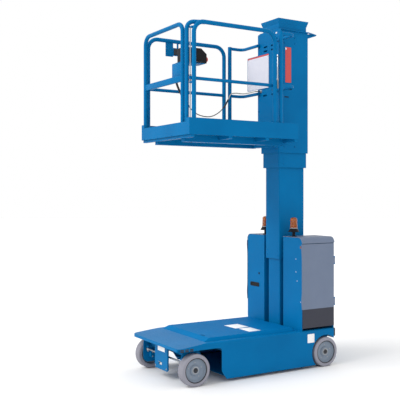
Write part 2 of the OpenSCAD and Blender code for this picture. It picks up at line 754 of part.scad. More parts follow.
// Points of a smooth route through the given ones, n steps to each stretch.
function route(p, n) = [
    for (i = [0 : len(p) - 2])
        let (a = p[max(i - 1, 0)], b = p[i], c = p[i + 1], d = p[min(i + 2, len(p) - 1)])
            for (k = [0 : n - 1])
                let (t = k / n)
                    0.5 * ((2 * b) + (c - a) * t + (2 * a - 5 * b + 4 * c - d) * t * t
                        + (3 * b - a - 3 * c + d) * t * t * t),
    p[len(p) - 1]
];
function unit(v) = v / norm(v);
function heading(q, i) = unit(q[min(i + 1, len(q) - 1)] - q[max(i - 1, 0)]);
function ring(q, i, r, sides) =
    let (t = heading(q, i), u = unit(cross(t, [0.31, 0.17, 0.93])), v = cross(t, u))
        [for (k = [0 : sides - 1]) q[i] + r * (cos(360 * k / sides) * u + sin(360 * k / sides) * v)];

// A round cord along a route.
module cord(points, r, sides, steps) {
    q = route(points, steps);
    n = len(q);
    rings = [for (i = [0 : n - 1]) for (point = ring(q, i, r, sides)) point];
    walls = [
        for (i = [0 : n - 2]) for (k = [0 : sides - 1])
            [i * sides + k, i * sides + (k + 1) % sides, (i + 1) * sides + (k + 1) % sides, (i + 1) * sides + k]
    ];
    first = [for (k = [sides - 1 : -1 : 0]) k];
    last = [for (k = [0 : sides - 1]) (n - 1) * sides + k];
    polyhedron(points = rings, faces = concat(walls, [first, last]), convexity = 8);
}

module control_cable() color(BLACK) cord(cable_points, cable_r, 8, 3);

// The flat of a moulded side door from z0 to z1.
module door_part(z0, z1) {
    translate([0, 0, z0]) linear_extrude(z1 - z0)
        rounded([door_x, cabinet_front + 2], [cabinet_out, cabinet_rear - 3], 2.5);
}

module door() {
    door_part(band_z + fit, door_z1);
    for (z = hinge_zs)
        difference() {
            union() {
                bar_z(hinge_x, hinge_y, z - 29, z + 29, hinge_r);
                span([door_x, hinge_x + hinge_r], [cabinet_rear - 10, hinge_y], [z - 29, z + 29]);
            }
            bar_z(hinge_x, hinge_y, z - 32, z + 32, hinge_pin_r + running);
        }
}

module door_right() color(GREY) door();
module door_left() color(GREY) mirror([1, 0, 0]) door();
module door_band_right() color([0.29, 0.29, 0.34]) door_part(door_z0, band_z);
module door_band_left() color([0.29, 0.29, 0.34]) mirror([1, 0, 0]) door_part(door_z0, band_z);

chassis_frame();
deck_panel();
front_plate();
front_axle();
rear_axle();
rear_bumpers();
mast_stage_1();
lift_barrel();
cabinets();
cabinet_caps();
power_packs();
beacon_bases();
beacon_lenses();
knuckle_left();
knuckle_right();
tie_rod();
tyre(-1, front_y);  // tyre_front_left
rim(-1, front_y);  // rim_front_left
tyre(1, front_y);  // tyre_front_right
rim(1, front_y);  // rim_front_right
tyre(-1, rear_y);  // tyre_rear_left
rim(-1, rear_y);  // rim_rear_left
tyre(1, rear_y);  // tyre_rear_right
rim(1, rear_y);  // rim_rear_right
mast_stage_2();
lift_rod();
mast_stage_3();
carriage();
platform_frame();
platform_floor();
toe_boards();
side_rails();
front_rail();
rear_rails();
guide_rods();
control_bracket();
control_box();
stop_knob();
notice_board();
marker_strip();
control_cable();
entry_rail();
door_left();
door_right();
door_band_left();
door_band_right();
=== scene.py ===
import json
import math

import bmesh
import bpy
from mathutils import Matrix, Vector

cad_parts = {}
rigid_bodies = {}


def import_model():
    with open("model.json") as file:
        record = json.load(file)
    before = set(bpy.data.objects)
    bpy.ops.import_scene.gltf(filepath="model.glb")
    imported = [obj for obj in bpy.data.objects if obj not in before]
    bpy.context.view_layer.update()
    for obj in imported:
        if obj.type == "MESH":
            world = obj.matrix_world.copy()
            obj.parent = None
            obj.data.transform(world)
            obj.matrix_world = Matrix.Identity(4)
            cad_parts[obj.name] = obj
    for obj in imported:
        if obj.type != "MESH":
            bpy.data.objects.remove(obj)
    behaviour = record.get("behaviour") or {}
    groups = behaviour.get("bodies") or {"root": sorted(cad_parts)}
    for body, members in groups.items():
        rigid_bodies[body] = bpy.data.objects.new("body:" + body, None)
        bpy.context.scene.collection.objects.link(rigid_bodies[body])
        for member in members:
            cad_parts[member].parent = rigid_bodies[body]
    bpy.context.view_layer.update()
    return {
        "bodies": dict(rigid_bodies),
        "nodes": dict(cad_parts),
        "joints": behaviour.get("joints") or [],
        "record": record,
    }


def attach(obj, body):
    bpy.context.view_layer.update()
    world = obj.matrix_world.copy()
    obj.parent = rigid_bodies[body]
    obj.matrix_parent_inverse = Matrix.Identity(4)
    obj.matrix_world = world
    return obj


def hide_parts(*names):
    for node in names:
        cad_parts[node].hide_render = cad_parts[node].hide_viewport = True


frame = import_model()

nodes = frame["nodes"]
MM = 0.001

# ---- Camera, at the photograph's viewing angle ----
CAMERA_PLACE = (6.351, -4.262, 1.8)
CAMERA_TURN = 58.56
CAMERA_LENS = 65.97

bpy.ops.object.select_all(action="DESELECT")
bpy.ops.object.camera_add(location=CAMERA_PLACE, rotation=(math.radians(90), 0, math.radians(CAMERA_TURN)))
camera = bpy.context.object
camera.name = "camera"
camera.data.sensor_width = 36
camera.data.lens = CAMERA_LENS
camera.data.shift_x = -0.015
camera.data.shift_y = -0.016
camera.data.clip_end = 200
bpy.context.scene.camera = camera


# ---- Handling of pieces ----
def grab(*objs):
    """Selects these objects alone; the first one is the active one."""
    bpy.ops.object.select_all(action="DESELECT")
    for obj in objs:
        obj.select_set(True)
    bpy.context.view_layer.objects.active = objs[0]


def settle(obj):
    """Moves the object's place, turn and scale into its mesh."""
    grab(obj)
    bpy.ops.object.transform_apply(location=True, rotation=True, scale=True)
    return obj


def apply_modifier(obj, kind, **settings):
    """Adds a modifier with these settings and applies it."""
    grab(obj)
    modifier = obj.modifiers.new(kind.lower(), kind)
    for key, value in settings.items():
        setattr(modifier, key, value)
    bpy.ops.object.modifier_apply(modifier=modifier.name)
    return obj


def edit(obj, mode="FACE"):
    """Opens the mesh for editing in that select mode, with nothing selected."""
    grab(obj)
    bpy.ops.object.mode_set(mode="EDIT")
    bpy.ops.mesh.select_mode(type=mode)
    bpy.ops.mesh.select_all(action="DESELECT")


def pick(obj, test, kind="faces"):
    """In edit mode, selects the faces or edges alone whose middle (and normal) pass the test."""
    shape = bmesh.from_edit_mesh(obj.data)
    for item in getattr(shape, kind):
        middle = sum((v.co for v in item.verts), Vector()) / len(item.verts)
        item.select_set(test(middle, item.normal) if kind == "faces" else test(middle, item))
    bmesh.update_edit_mesh(obj.data)


def close(obj):
    """Merges doubled points, turns the faces outwards and leaves edit mode."""
    bpy.ops.mesh.select_all(action="SELECT")
    bpy.ops.mesh.remove_doubles(threshold=0.000002)
    bpy.ops.mesh.normals_make_consistent(inside=False)
    bpy.ops.object.mode_set(mode="OBJECT")
    return obj


def piece(obj, name, body, finish, smooth=35):
    """Names a finished piece, gives it its finish and its slot, and lets it ride on a body."""
    settle(obj)
    bpy.ops.object.shade_smooth_by_angle(angle=math.radians(smooth))
    obj.name = name
    obj.data.name = name
    obj.data.materials.clear()
    obj.data.materials.append(FINISHES[finish])
    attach(obj, body)
    return obj


def block(low, high, bevel=0.0, segments=2):
    """A block between two corners in millimetres, with its edges rounded."""
    low, high = Vector(low) * MM, Vector(high) * MM
    bpy.ops.object.select_all(action="DESELECT")
    bpy.ops.mesh.primitive_cube_add(size=1, location=(low + high) / 2)
    obj = bpy.context.object
    obj.scale = high - low
    settle(obj)
    if bevel:
        apply_modifier(obj, "BEVEL", width=bevel * MM, segments=segments, limit_method="NONE")
    return obj


def along(obj, axis, at):
    """Turns a piece made along Z so that its +Z points along the axis, and puts its foot at a point in millimetres."""
    turn = Vector((0, 0, 1)).rotation_difference(Vector(axis)).to_matrix().to_4x4()
    obj.matrix_world = Matrix.Translation(Vector(at) * MM) @ turn
    return settle(obj)


def turned(profile, axis=(0, 0, 1), at=(0, 0, 0), steps=32):
    """A piece turned on a lathe: its (radius, height) profile in millimetres is extruded point by point and spun."""
    bpy.ops.object.select_all(action="DESELECT")
    bpy.ops.mesh.primitive_plane_add(size=MM)
    obj = bpy.context.object
    edit(obj, "VERT")
    bpy.ops.mesh.select_all(action="SELECT")
    bpy.ops.mesh.merge(type="CENTER")
    here = Vector((0, 0, 0))
    for index, (radius, height) in enumerate(profile):
        there = Vector((radius, 0, height)) * MM
        if index == 0:
            bpy.ops.transform.translate(value=there - here)
        else:
            bpy.ops.mesh.extrude_region_move(TRANSFORM_OT_translate={"value": there - here})
        here = there
    bpy.ops.mesh.select_all(action="SELECT")
    bpy.ops.mesh.spin(steps=steps, angle=math.tau, center=(0, 0, 0), axis=(0, 0, 1))
    close(obj)
    return along(obj, axis, at)


def plate(size, thickness, corner, axis=(0, 0, 1), at=(0, 0, 0), turn=0.0, rim=0.0):
    """A flat plate with rounded corners, its underside at a point in millimetres and its face towards the axis."""
    bpy.ops.object.select_all(action="DESELECT")
    bpy.ops.mesh.primitive_plane_add(size=1)
    obj = bpy.context.object
    obj.scale = (size[0] * MM, size[1] * MM, 1)
    settle(obj)
    edit(obj, "VERT")
    bpy.ops.mesh.select_all(action="SELECT")
    bpy.ops.mesh.bevel(offset=corner * MM, segments=5, affect="VERTICES")
    bpy.ops.mesh.select_all(action="SELECT")
    bpy.ops.mesh.extrude_region_move(TRANSFORM_OT_translate={"value": (0, 0, thickness * MM)})
    close(obj)
    if rim:
        apply_modifier(obj, "BEVEL", width=rim * MM, segments=2, limit_method="ANGLE", angle_limit=math.radians(60))
    obj.rotation_euler = (0, 0, math.radians(turn))
    settle(obj)
    return along(obj, axis, at)


def copies(obj, places, turns=None):
    """Copies a piece, each with its own mesh, to offsets in millimetres, and joins them with it."""
    made = [obj]
    for index, place in enumerate(places):
        twin = obj.copy()
        twin.data = obj.data.copy()
        bpy.context.scene.collection.objects.link(twin)
        turn = Matrix.Identity(4) if turns is None else turns[index]
        twin.data.transform(Matrix.Translation(Vector(place) * MM) @ turn)
        made.append(twin)
    bpy.data.objects.remove(made.pop(0))
    grab(*made)
    if len(made) > 1:
        bpy.ops.object.join()
    return bpy.context.object


def mirrored(obj):
    """A twin of the piece on the other side of the machine, with its own mesh."""
    twin = obj.copy()
    twin.data = obj.data.copy()
    bpy.context.scene.collection.objects.link(twin)
    twin.data.transform(Matrix.Scale(-1, 4, (1, 0, 0)))
    twin.data.flip_normals()
    return twin


def tube(points, radius, sides=6, caps=True):
    """A round tube along points in millimetres."""
    line = bpy.data.curves.new("tube", "CURVE")
    line.dimensions = "3D"
    line.bevel_depth = radius * MM
    line.bevel_resolution = sides
    line.use_fill_caps = caps
    spline = line.splines.new("POLY")
    spline.points.add(len(points) - 1)
    for point, place in zip(spline.points, points):
        point.co = (*(Vector(place) * MM), 1)
    obj = bpy.data.objects.new("tube", line)
    bpy.context.scene.collection.objects.link(obj)
    return obj


def as_mesh(obj):
    """Turns a curve into a mesh with its points merged."""
    grab(obj)
    bpy.ops.object.convert(target="MESH")
    obj = bpy.context.object
    edit(obj, "VERT")
    return close(obj)


# ---- Finishes ----
def colour_of(code):
    """A linear colour from an sRGB hex code."""
    parts = [int(code[i:i + 2], 16) / 255 for i in (1, 3, 5)]
    return (*[p / 12.92 if p <= 0.04045 else ((p + 0.055) / 1.055) ** 2.4 for p in parts], 1)


def add_node(tree, kind, links=None, values=None, **settings):
    """Adds a node with its settings, its plain values and the sockets that feed it."""
    node = tree.nodes.new(kind)
    for key, value in settings.items():
        setattr(node, key, value)
    for socket, value in (values or {}).items():
        node.inputs[socket].default_value = value
    for socket, source in (links or {}).items():
        tree.links.new(source, node.inputs[socket])
    return node


def new_finish(name, **values):
    """A material with an empty Principled shader that has these values, and its object coordinates."""
    finish = bpy.data.materials.new(name)
    finish.use_nodes = True
    tree = finish.node_tree
    shader = tree.nodes["Principled BSDF"]
    for socket, value in values.items():
        shader.inputs[socket.replace("_", " ")].default_value = value
    place = add_node(tree, "ShaderNodeTexCoord").outputs["Object"]
    return finish, tree, shader, place


def stove_enamel(name, colour, worn, roughness, sheen=0.05):
    """Stove enamel on sheet steel: even satin gloss, a faint orange peel, softly lit edges with the gloss rubbed off them."""
    finish, tree, shader, place = new_finish(name, Specular_IOR_Level=sheen, IOR=1.5)
    # Broad patches of about 400 mm where the coat is a little thicker.
    patches = add_node(tree, "ShaderNodeTexNoise", {"Vector": place}, {"Scale": 2.5, "Detail": 3.0})
    tone = add_node(tree, "ShaderNodeValToRGB", {"Fac": patches.outputs["Fac"]})
    deep, light = colour_of(colour), colour_of(colour)
    tone.color_ramp.elements[0].position = 0.3
    tone.color_ramp.elements[0].color = (deep[0] * 0.9, deep[1] * 0.9, deep[2] * 0.92, 1)
    tone.color_ramp.elements[1].position = 0.7
    tone.color_ramp.elements[1].color = (light[0] * 1.08, light[1] * 1.06, light[2] * 1.05, 1)
    # Edges within 2.5 mm catch the light and are rubbed paler in places.
    soft = add_node(tree, "ShaderNodeBevel", values={"Radius": 0.0025}, samples=4)
    flat = add_node(tree, "ShaderNodeNewGeometry").outputs["Normal"]
    turn = add_node(tree, "ShaderNodeVectorMath", {0: soft.outputs["Normal"], 1: flat}, operation="DOT_PRODUCT")
    edge = add_node(tree, "ShaderNodeMapRange", {"Value": turn.outputs["Value"]},
                    {"From Min": 0.995, "From Max": 0.85, "To Min": 0.0, "To Max": 1.0})
    chips = add_node(tree, "ShaderNodeTexNoise", {"Vector": place}, {"Scale": 60.0, "Detail": 4.0})
    rubbed = add_node(tree, "ShaderNodeMapRange", {"Value": chips.outputs["Fac"]},
                      {"From Min": 0.5, "From Max": 0.7, "To Min": 0.05, "To Max": 0.55})
    wear = add_node(tree, "ShaderNodeMath", {0: edge.outputs["Result"], 1: rubbed.outputs["Result"]}, operation="MULTIPLY")
    paint = add_node(tree, "ShaderNodeMix", {"Factor": wear.outputs["Value"], "A": tone.outputs["Color"]},
                     data_type="RGBA")
    paint.inputs["B"].default_value = colour_of(worn)
    tree.links.new(paint.outputs["Result"], shader.inputs["Base Color"])
    # Orange peel is about 1.5 mm wide; it is drawn at 5 mm so that it shows.
    peel = add_node(tree, "ShaderNodeTexNoise", {"Vector": place}, {"Scale": 200.0, "Detail": 2.0})
    relief = add_node(tree, "ShaderNodeBump", {"Height": peel.outputs["Fac"], "Normal": soft.outputs["Normal"]},
                      {"Strength": 0.05, "Distance": 0.001})
    tree.links.new(relief.outputs["Normal"], shader.inputs["Normal"])
    gloss = add_node(tree, "ShaderNodeMapRange", {"Value": chips.outputs["Fac"]},
                     {"From Min": 0.35, "From Max": 0.75, "To Min": roughness, "To Max": roughness + 0.12})
    tree.links.new(gloss.outputs["Result"], shader.inputs["Roughness"])
    return finish


def grained_plastic(name, colour, shade, roughness, grain=1.5, depth=0.12, sheen=0.35):
    """Moulded ABS: a fine matte grain pressed into the skin, with faint cloudy streaks from the moulding."""
    finish, tree, shader, place = new_finish(name, Specular_IOR_Level=sheen, IOR=1.53)
    clouds = add_node(tree, "ShaderNodeTexNoise", {"Vector": place}, {"Scale": 5.0, "Detail": 5.0})
    tone = add_node(tree, "ShaderNodeMix", {"Factor": clouds.outputs["Fac"]}, data_type="RGBA")
    tone.inputs["A"].default_value = colour_of(colour)
    tone.inputs["B"].default_value = colour_of(shade)
    tree.links.new(tone.outputs["Result"], shader.inputs["Base Color"])
    # The pressed grain's cells, in millimetres.
    cells = add_node(tree, "ShaderNodeTexVoronoi", {"Vector": place}, {"Scale": 1 / (grain * MM)})
    soft = add_node(tree, "ShaderNodeBevel", values={"Radius": 0.003}, samples=4)
    relief = add_node(tree, "ShaderNodeBump", {"Height": cells.outputs["Distance"], "Normal": soft.outputs["Normal"]},
                      {"Strength": depth, "Distance": 0.0006})
    tree.links.new(relief.outputs["Normal"], shader.inputs["Normal"])
    rub = add_node(tree, "ShaderNodeMapRange", {"Value": clouds.outputs["Fac"]},
                   {"From Min": 0.3, "From Max": 0.7, "To Min": roughness - 0.05, "To Max": roughness + 0.08})
    tree.links.new(rub.outputs["Result"], shader.inputs["Roughness"])
    return finish


def solid_rubber_tyre(name, colour, scuff, axle):
    """Cured non-marking rubber: chalky and dull, with fine mould rings round the axle and darker scuffs on its tread."""
    finish, tree, shader, place = new_finish(name, Specular_IOR_Level=0.25, Roughness=0.82, IOR=1.52)
    centred = add_node(tree, "ShaderNodeMapping", {"Vector": place})
    centred.inputs["Location"].default_value = tuple(-c * MM for c in axle)
    parts = add_node(tree, "ShaderNodeSeparateXYZ", {"Vector": centred.outputs["Vector"]})
    disc = add_node(tree, "ShaderNodeCombineXYZ", {"Y": parts.outputs["Y"], "Z": parts.outputs["Z"]})
    reach = add_node(tree, "ShaderNodeVectorMath", {0: disc.outputs["Vector"]}, operation="LENGTH")
    scuffs = add_node(tree, "ShaderNodeTexNoise", {"Vector": place}, {"Scale": 28.0, "Detail": 7.0, "Roughness": 0.65})
    tread = add_node(tree, "ShaderNodeMapRange", {"Value": reach.outputs["Value"]},
                     {"From Min": 0.144, "From Max": 0.1525, "To Min": 0.15, "To Max": 0.75})
    marks = add_node(tree, "ShaderNodeMath", {0: scuffs.outputs["Fac"], 1: tread.outputs["Result"]}, operation="MULTIPLY")
    tone = add_node(tree, "ShaderNodeMix", {"Factor": marks.outputs["Value"]}, data_type="RGBA")
    tone.inputs["A"].default_value = colour_of(colour)
    tone.inputs["B"].default_value = colour_of(scuff)
    tree.links.new(tone.outputs["Result"], shader.inputs["Base Color"])
    # Mould rings 1 mm apart are drawn 4 mm apart so that they show on the wall.
    rings = add_node(tree, "ShaderNodeMath", {0: reach.outputs["Value"]}, {1: math.tau / 0.004}, operation="MULTIPLY")
    waves = add_node(tree, "ShaderNodeMath", {0: rings.outputs["Value"]}, operation="SINE")
    grit = add_node(tree, "ShaderNodeTexNoise", {"Vector": place}, {"Scale": 500.0, "Detail": 3.0})
    sum_up = add_node(tree, "ShaderNodeMath", {0: waves.outputs["Value"], 1: grit.outputs["Fac"]}, operation="ADD")
    relief = add_node(tree, "ShaderNodeBump", {"Height": sum_up.outputs["Value"]}, {"Strength": 0.25, "Distance": 0.0004})
    tree.links.new(relief.outputs["Normal"], shader.inputs["Normal"])
    return finish


def black_rubber(name, colour, roughness):
    """Extruded or moulded rubber: near black, dull, a little grey where it is rubbed."""
    finish, tree, shader, place = new_finish(name, Specular_IOR_Level=0.4, IOR=1.52)
    dust = add_node(tree, "ShaderNodeTexNoise", {"Vector": place}, {"Scale": 45.0, "Detail": 6.0})
    tone = add_node(tree, "ShaderNodeMix", {"Factor": dust.outputs["Fac"]}, data_type="RGBA")
    tone.inputs["A"].default_value = colour_of(colour)
    tone.inputs["B"].default_value = colour_of("#3a3a3e")
    tree.links.new(tone.outputs["Result"], shader.inputs["Base Color"])
    grit = add_node(tree, "ShaderNodeTexNoise", {"Vector": place}, {"Scale": 700.0, "Detail": 2.0})
    relief = add_node(tree, "ShaderNodeBump", {"Height": grit.outputs["Fac"]}, {"Strength": 0.2, "Distance": 0.0003})
    tree.links.new(relief.outputs["Normal"], shader.inputs["Normal"])
    shader.inputs["Roughness"].default_value = roughness
    return finish


def chromed_steel(name, streak):
    """Hard-chromed and ground steel: a clear mirror with fine grinding lines that blur it a little."""
    finish, tree, shader, place = new_finish(name, Metallic=1.0)
    shader.inputs["Base Color"].default_value = colour_of("#c9ccd0")
    lines = add_node(tree, "ShaderNodeMapping", {"Vector": place}, {"Scale": streak})
    ground = add_node(tree, "ShaderNodeTexNoise", {"Vector": lines.outputs["Vector"]}, {"Scale": 120.0, "Detail": 4.0})
    haze = add_node(tree, "ShaderNodeMapRange", {"Value": ground.outputs["Fac"]},
                    {"From Min": 0.3, "From Max": 0.7, "To Min": 0.1, "To Max": 0.26})
    tree.links.new(haze.outputs["Result"], shader.inputs["Roughness"])
    relief = add_node(tree, "ShaderNodeBump", {"Height": ground.outputs["Fac"]}, {"Strength": 0.04, "Distance": 0.0002})
    tree.links.new(relief.outputs["Normal"], shader.inputs["Normal"])
    return finish


def zinc_plated_steel(name, colour):
    """Zinc-plated steel: a cool matt metal with cloudy crystal patches a few millimetres wide."""
    finish, tree, shader, place = new_finish(name, Metallic=1.0)
    spangle = add_node(tree, "ShaderNodeTexVoronoi", {"Vector": place}, {"Scale": 160.0}, feature="SMOOTH_F1")
    tone = add_node(tree, "ShaderNodeMix", {"Factor": spangle.outputs["Distance"]}, data_type="RGBA")
    tone.inputs["A"].default_value = colour_of(colour)
    tone.inputs["B"].default_value = colour_of("#8e9196")
    tree.links.new(tone.outputs["Result"], shader.inputs["Base Color"])
    cloud = add_node(tree, "ShaderNodeTexNoise", {"Vector": place}, {"Scale": 90.0, "Detail": 4.0})
    haze = add_node(tree, "ShaderNodeMapRange", {"Value": cloud.outputs["Fac"]},
                    {"From Min": 0.3, "From Max": 0.7, "To Min": 0.3, "To Max": 0.5})
    tree.links.new(haze.outputs["Result"], shader.inputs["Roughness"])
    return finish


def rolled_aluminium(name, colour):
    """Mill-finished aluminium plate: dull silver with fine rolling lines along it and crossing shoe scratches."""
    finish, tree, shader, place = new_finish(name, Metallic=1.0)
    shader.inputs["Base Color"].default_value = colour_of(colour)
    lines = add_node(tree, "ShaderNodeMapping", {"Vector": place}, {"Scale": (40.0, 1.5, 1.0)})
    rolled = add_node(tree, "ShaderNodeTexNoise", {"Vector": lines.outputs["Vector"]}, {"Scale": 20.0, "Detail": 5.0})
    scratches = add_node(tree, "ShaderNodeTexNoise", {"Vector": place},
                         {"Scale": 18.0, "Detail": 8.0, "Distortion": 2.5})
    blend = add_node(tree, "ShaderNodeMath", {0: rolled.outputs["Fac"], 1: scratches.outputs["Fac"]}, operation="MULTIPLY")
    haze = add_node(tree, "ShaderNodeMapRange", {"Value": blend.outputs["Value"]},
                    {"From Min": 0.1, "From Max": 0.4, "To Min": 0.28, "To Max": 0.52})
    tree.links.new(haze.outputs["Result"], shader.inputs["Roughness"])
    relief = add_node(tree, "ShaderNodeBump", {"Height": rolled.outputs["Fac"]}, {"Strength": 0.08, "Distance": 0.0003})
    tree.links.new(relief.outputs["Normal"], shader.inputs["Normal"])
    return finish


def amber_polycarbonate(name, colour, deep):
    """Moulded polycarbonate lens: clear amber that glows where it is thin and darkens in its middle, with a hard gloss."""
    finish, tree, shader, place = new_finish(name, Roughness=0.14, IOR=1.585, Transmission_Weight=0.35,
                                             Subsurface_Weight=0.3, Subsurface_Scale=0.02)
    shader.inputs["Subsurface Radius"].default_value = (1.0, 0.4, 0.1)
    cloud = add_node(tree, "ShaderNodeTexNoise", {"Vector": place}, {"Scale": 30.0, "Detail": 2.0})
    tone = add_node(tree, "ShaderNodeMix", {"Factor": cloud.outputs["Fac"]}, data_type="RGBA")
    tone.inputs["A"].default_value = colour_of(colour)
    tone.inputs["B"].default_value = colour_of(deep)
    tree.links.new(tone.outputs["Result"], shader.inputs["Base Color"])
    return finish


def vinyl_film(name, colour, faded):
    """Cut vinyl film: flat and even with a low sheen, slightly faded in patches and never quite smooth underneath."""
    finish, tree, shader, place = new_finish(name, Specular_IOR_Level=0.4, IOR=1.53, Roughness=0.42)
    patches = add_node(tree, "ShaderNodeTexNoise", {"Vector": place}, {"Scale": 14.0, "Detail": 4.0})
    tone = add_node(tree, "ShaderNodeMix", {"Factor": patches.outputs["Fac"]}, data_type="RGBA")
    tone.inputs["A"].default_value = colour_of(colour)
    tone.inputs["B"].default_value = colour_of(faded)
    tree.links.new(tone.outputs["Result"], shader.inputs["Base Color"])
    relief = add_node(tree, "ShaderNodeBump", {"Height": patches.outputs["Fac"]}, {"Strength": 0.15, "Distance": 0.0005})
    tree.links.new(relief.outputs["Normal"], shader.inputs["Normal"])
    return finish


def studio_floor(name):
    """A pale painted studio floor with hardly any mottling."""
    finish, tree, shader, place = new_finish(name, Roughness=0.9, Specular_IOR_Level=0.1)
    mottle = add_node(tree, "ShaderNodeTexNoise", {"Vector": place}, {"Scale": 0.8, "Detail": 2.0})
    tone = add_node(tree, "ShaderNodeMix", {"Factor": mottle.outputs["Fac"]}, data_type="RGBA")
    tone.inputs["A"].default_value = colour_of("#f2f2f2")
    tone.inputs["B"].default_value = colour_of("#efefef")
    tree.links.new(tone.outputs["Result"], shader.inputs["Base Color"])
    return finish


FRONT_AXLE = (0, -785, 152.5)
REAR_AXLE = (0, 785, 152.5)
FINISHES = {
    "blue_paint": stove_enamel("blue_enamel", "#006aa2", "#5f8fb4", 0.34),
    "deck_paint": stove_enamel("deck_enamel", "#006ca6", "#6a97b8", 0.5, sheen=0.02),
    "rim_grey": stove_enamel("rim_enamel", "#7f8c9b", "#a3abb3", 0.5, sheen=0.2),
    "cover_grey": grained_plastic("cover_abs", "#6c7990", "#647188", 0.5),
    "cover_dark": grained_plastic("band_abs", "#353742", "#3b3c46", 0.6, sheen=0.25),
    "black_plastic": grained_plastic("black_abs", "#101013", "#18181c", 0.45, grain=1.2, sheen=0.14),
    "red_plastic": grained_plastic("red_abs", "#c02a22", "#b3241e", 0.3, depth=0.03),
    "tyre_front": solid_rubber_tyre("tyre_rubber_front", "#93939e", "#6d6c72", FRONT_AXLE),
    "tyre_rear": solid_rubber_tyre("tyre_rubber_rear", "#93939e", "#6d6c72", REAR_AXLE),
    "black_rubber": black_rubber("black_rubber", "#121214", 0.62),
    "cable_grey": grained_plastic("cable_jacket", "#a9a79f", "#9c9a93", 0.5, grain=1.0, depth=0.05),
    "bright_steel": chromed_steel("chromed_rod", (1.0, 1.0, 12.0)),
    "zinc_steel": zinc_plated_steel("zinc_plating", "#a9adb2"),
    "floor_plate": rolled_aluminium("floor_aluminium", "#a8abae"),
    "amber_lens": amber_polycarbonate("amber_lens", "#d4701c", "#8e4612"),
    "board_white": vinyl_film("board_film", "#d9d9e2", "#cfcfda"),
    "label_white": vinyl_film("label_film", "#f2f2f2", "#e6e6e8"),
    "red_marker": vinyl_film("red_film", "#cc4b4a", "#c24443"),
}

for row in frame["record"]["subparts"]:
    finish = row["material_slot"]
    if finish == "tyre_grey":
        finish = "tyre_front" if "front" in row["node"] else "tyre_rear"
    for place in nodes[row["node"]].material_slots:
        place.material = FINISHES[finish]

# ---- Control cable ----
CABLE_R = 6
CABLE_POINTS = [
    (140, -760, 3090), (129, -760, 3089), (112, -761, 3080), (99, -767, 3052), (96, -780, 2995), (102, -790, 2930),
    (90, -760, 2850), (60, -690, 2760), (10, -590, 2675), (-50, -480, 2620), (-120, -350, 2600),
    (-200, -200, 2610), (-280, -60, 2660), (-350, 60, 2735), (-400, 150, 2830), (-426, 205, 2900),
    (-430, 270, 2916), (-425, 335, 2914), (-395, 362, 2912), (-320, 368, 2912), (-245, 364, 2912),
    (-196, 364, 2912), (-168, 372, 2912), (-153, 387, 2912), (-150, 397, 2912), (-150, 404, 2912),
]


def route(points, steps):
    """The points of a smooth line through the given ones."""
    line = []
    count = len(points)
    for i in range(count - 1):
        a, b, c, d = (Vector(points[min(max(i + k, 0), count - 1)]) for k in (-1, 0, 1, 2))
        for k in range(steps):
            t = k / steps
            line.append(0.5 * (2 * b + (c - a) * t + (2 * a - 5 * b + 4 * c - d) * t * t
                               + (3 * b - a - 3 * c + d) * t * t * t))
    return line + [Vector(points[-1])]


cable_line = route(CABLE_POINTS, 6)
cable = tube(cable_line, CABLE_R - 1.2)
cable.name = "control_cable_run"
cable.data.materials.append(FINISHES["black_rubber"])
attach(cable, "mast_upper")
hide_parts("control_cable")


def sleeve(name, first, last, radius, finish="black_rubber"):
    """A thicker sheath over a stretch of the cable."""
    return piece(as_mesh(tube(cable_line[first:last + 1], radius)), name, "mast_upper", finish, 60)


sleeves = [
    sleeve("cable_sleeve_front", 28, 48, 11), sleeve("cable_sleeve_rear", 78, 84, 9),
    sleeve("cable_jacket_front", 12, 28, 5.6, "cable_grey"), sleeve("cable_jacket_rear", 84, 128, 5.6, "cable_grey"),
]


def bent(corners, radius, steps=8):
    """The points of a path with its corners rounded to a radius in millimetres."""
    corners = [Vector(c) for c in corners]
    line = [corners[0]]
    for before, corner, after in zip(corners, corners[1:], corners[2:]):
        back, ahead = (before - corner).normalized(), (after - corner).normalized()
        half = back.angle(ahead) / 2
        centre = corner + (back + ahead).normalized() * radius / math.sin(half)
        start = corner + back * radius / math.tan(half) - centre
        stop = corner + ahead * radius / math.tan(half) - centre
        sweep = math.pi - 2 * half
        for k in range(steps + 1):
            share = k / steps
            line.append(centre + (start * math.sin((1 - share) * sweep) + stop * math.sin(share * sweep)) / math.sin(sweep))
    return line + [corners[-1]]


# Small parts that are set out more than once
def hex_bolt(size):
    """A hexagon head with a chamfered top on its washer, standing on the origin."""
    bpy.ops.object.select_all(action="DESELECT")
    bpy.ops.mesh.primitive_cylinder_add(vertices=6, radius=size * MM, depth=0.6 * size * MM,
                                        location=(0, 0, 0.42 * size * MM))
    head = settle(bpy.context.object)
    edit(head)
    pick(head, lambda middle, normal: normal.z > 0.9)
    bpy.ops.mesh.inset(thickness=0.16 * size * MM, depth=0.12 * size * MM)
    close(head)
    washer = turned([(0, 0), (1.3 * size, 0), (1.3 * size, 0.12 * size), (1.2 * size, 0.18 * size), (0, 0.18 * size)],
                    steps=18)
    grab(head, washer)
    bpy.ops.object.join()
    return bpy.context.object


def rivet(size):
    """A low domed head, standing on the origin."""
    return turned([(0, 0), (size, 0), (0.94 * size, 0.16 * size), (0.7 * size, 0.34 * size), (0.35 * size, 0.44 * size),
                   (0, 0.47 * size)], steps=16)


def set_out(obj, name, body, finish, axis, places, smooth=35):
    """Sets a small part out at these points, pointing along the axis, as one piece."""
    along(obj, axis, (0, 0, 0))
    return piece(copies(obj, places), name, body, finish, smooth=smooth)


def joined(*objs):
    """Joins several shapes into one object."""
    grab(*objs)
    bpy.ops.object.join()
    return bpy.context.object


def label(name, body, size, axis, at, turn=0.0):
    """A blank label of thin film with rounded corners."""
    shape = plate(size, 0.7, 3, axis, at, turn, rim=0.25)
    return piece(shape, name, body, "label_white")


